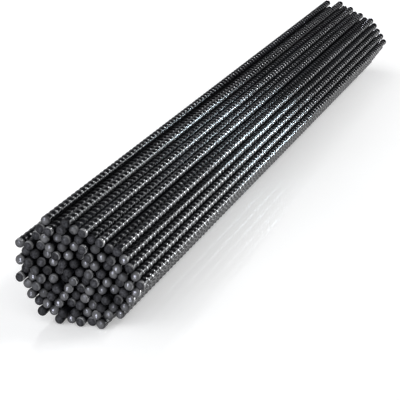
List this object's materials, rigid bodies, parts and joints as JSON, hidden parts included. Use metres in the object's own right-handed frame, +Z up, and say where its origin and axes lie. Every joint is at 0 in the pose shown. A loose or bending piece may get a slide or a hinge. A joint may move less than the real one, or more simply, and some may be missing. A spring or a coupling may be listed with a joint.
{
  "type": "rebar bundle",
  "caption": "Round bundle of straight deformed reinforcing bars, dark with mill scale, stacked in nested layers with staggered rounded ends and lying on its lowest layer.",
  "frame": {"origin": "on the floor under the middle of the bundle", "axes": "+X along the bars, away from the end that faces the viewer; +Z up; +Y to the left seen along +X"},
  "size_m": [1.124, 0.1342, 0.1166],
  "materials": {
    "mill_scale_steel": "hot-rolled, dark mill scale, satin, with brighter worn rib crests"
  },
  "bodies": {
    "root": {"bars_layer_01": "mill_scale_steel", "bars_layer_02": "mill_scale_steel", "bars_layer_03": "mill_scale_steel", "bars_layer_04": "mill_scale_steel", "bars_layer_05": "mill_scale_steel", "bars_layer_06": "mill_scale_steel", "bars_layer_07": "mill_scale_steel", "bars_layer_08": "mill_scale_steel", "bars_layer_09": "mill_scale_steel", "bars_layer_10": "mill_scale_steel", "bars_layer_11": "mill_scale_steel", "bars_layer_12": "mill_scale_steel", "bars_layer_13": "mill_scale_steel"}
  },
  "joints": []
}
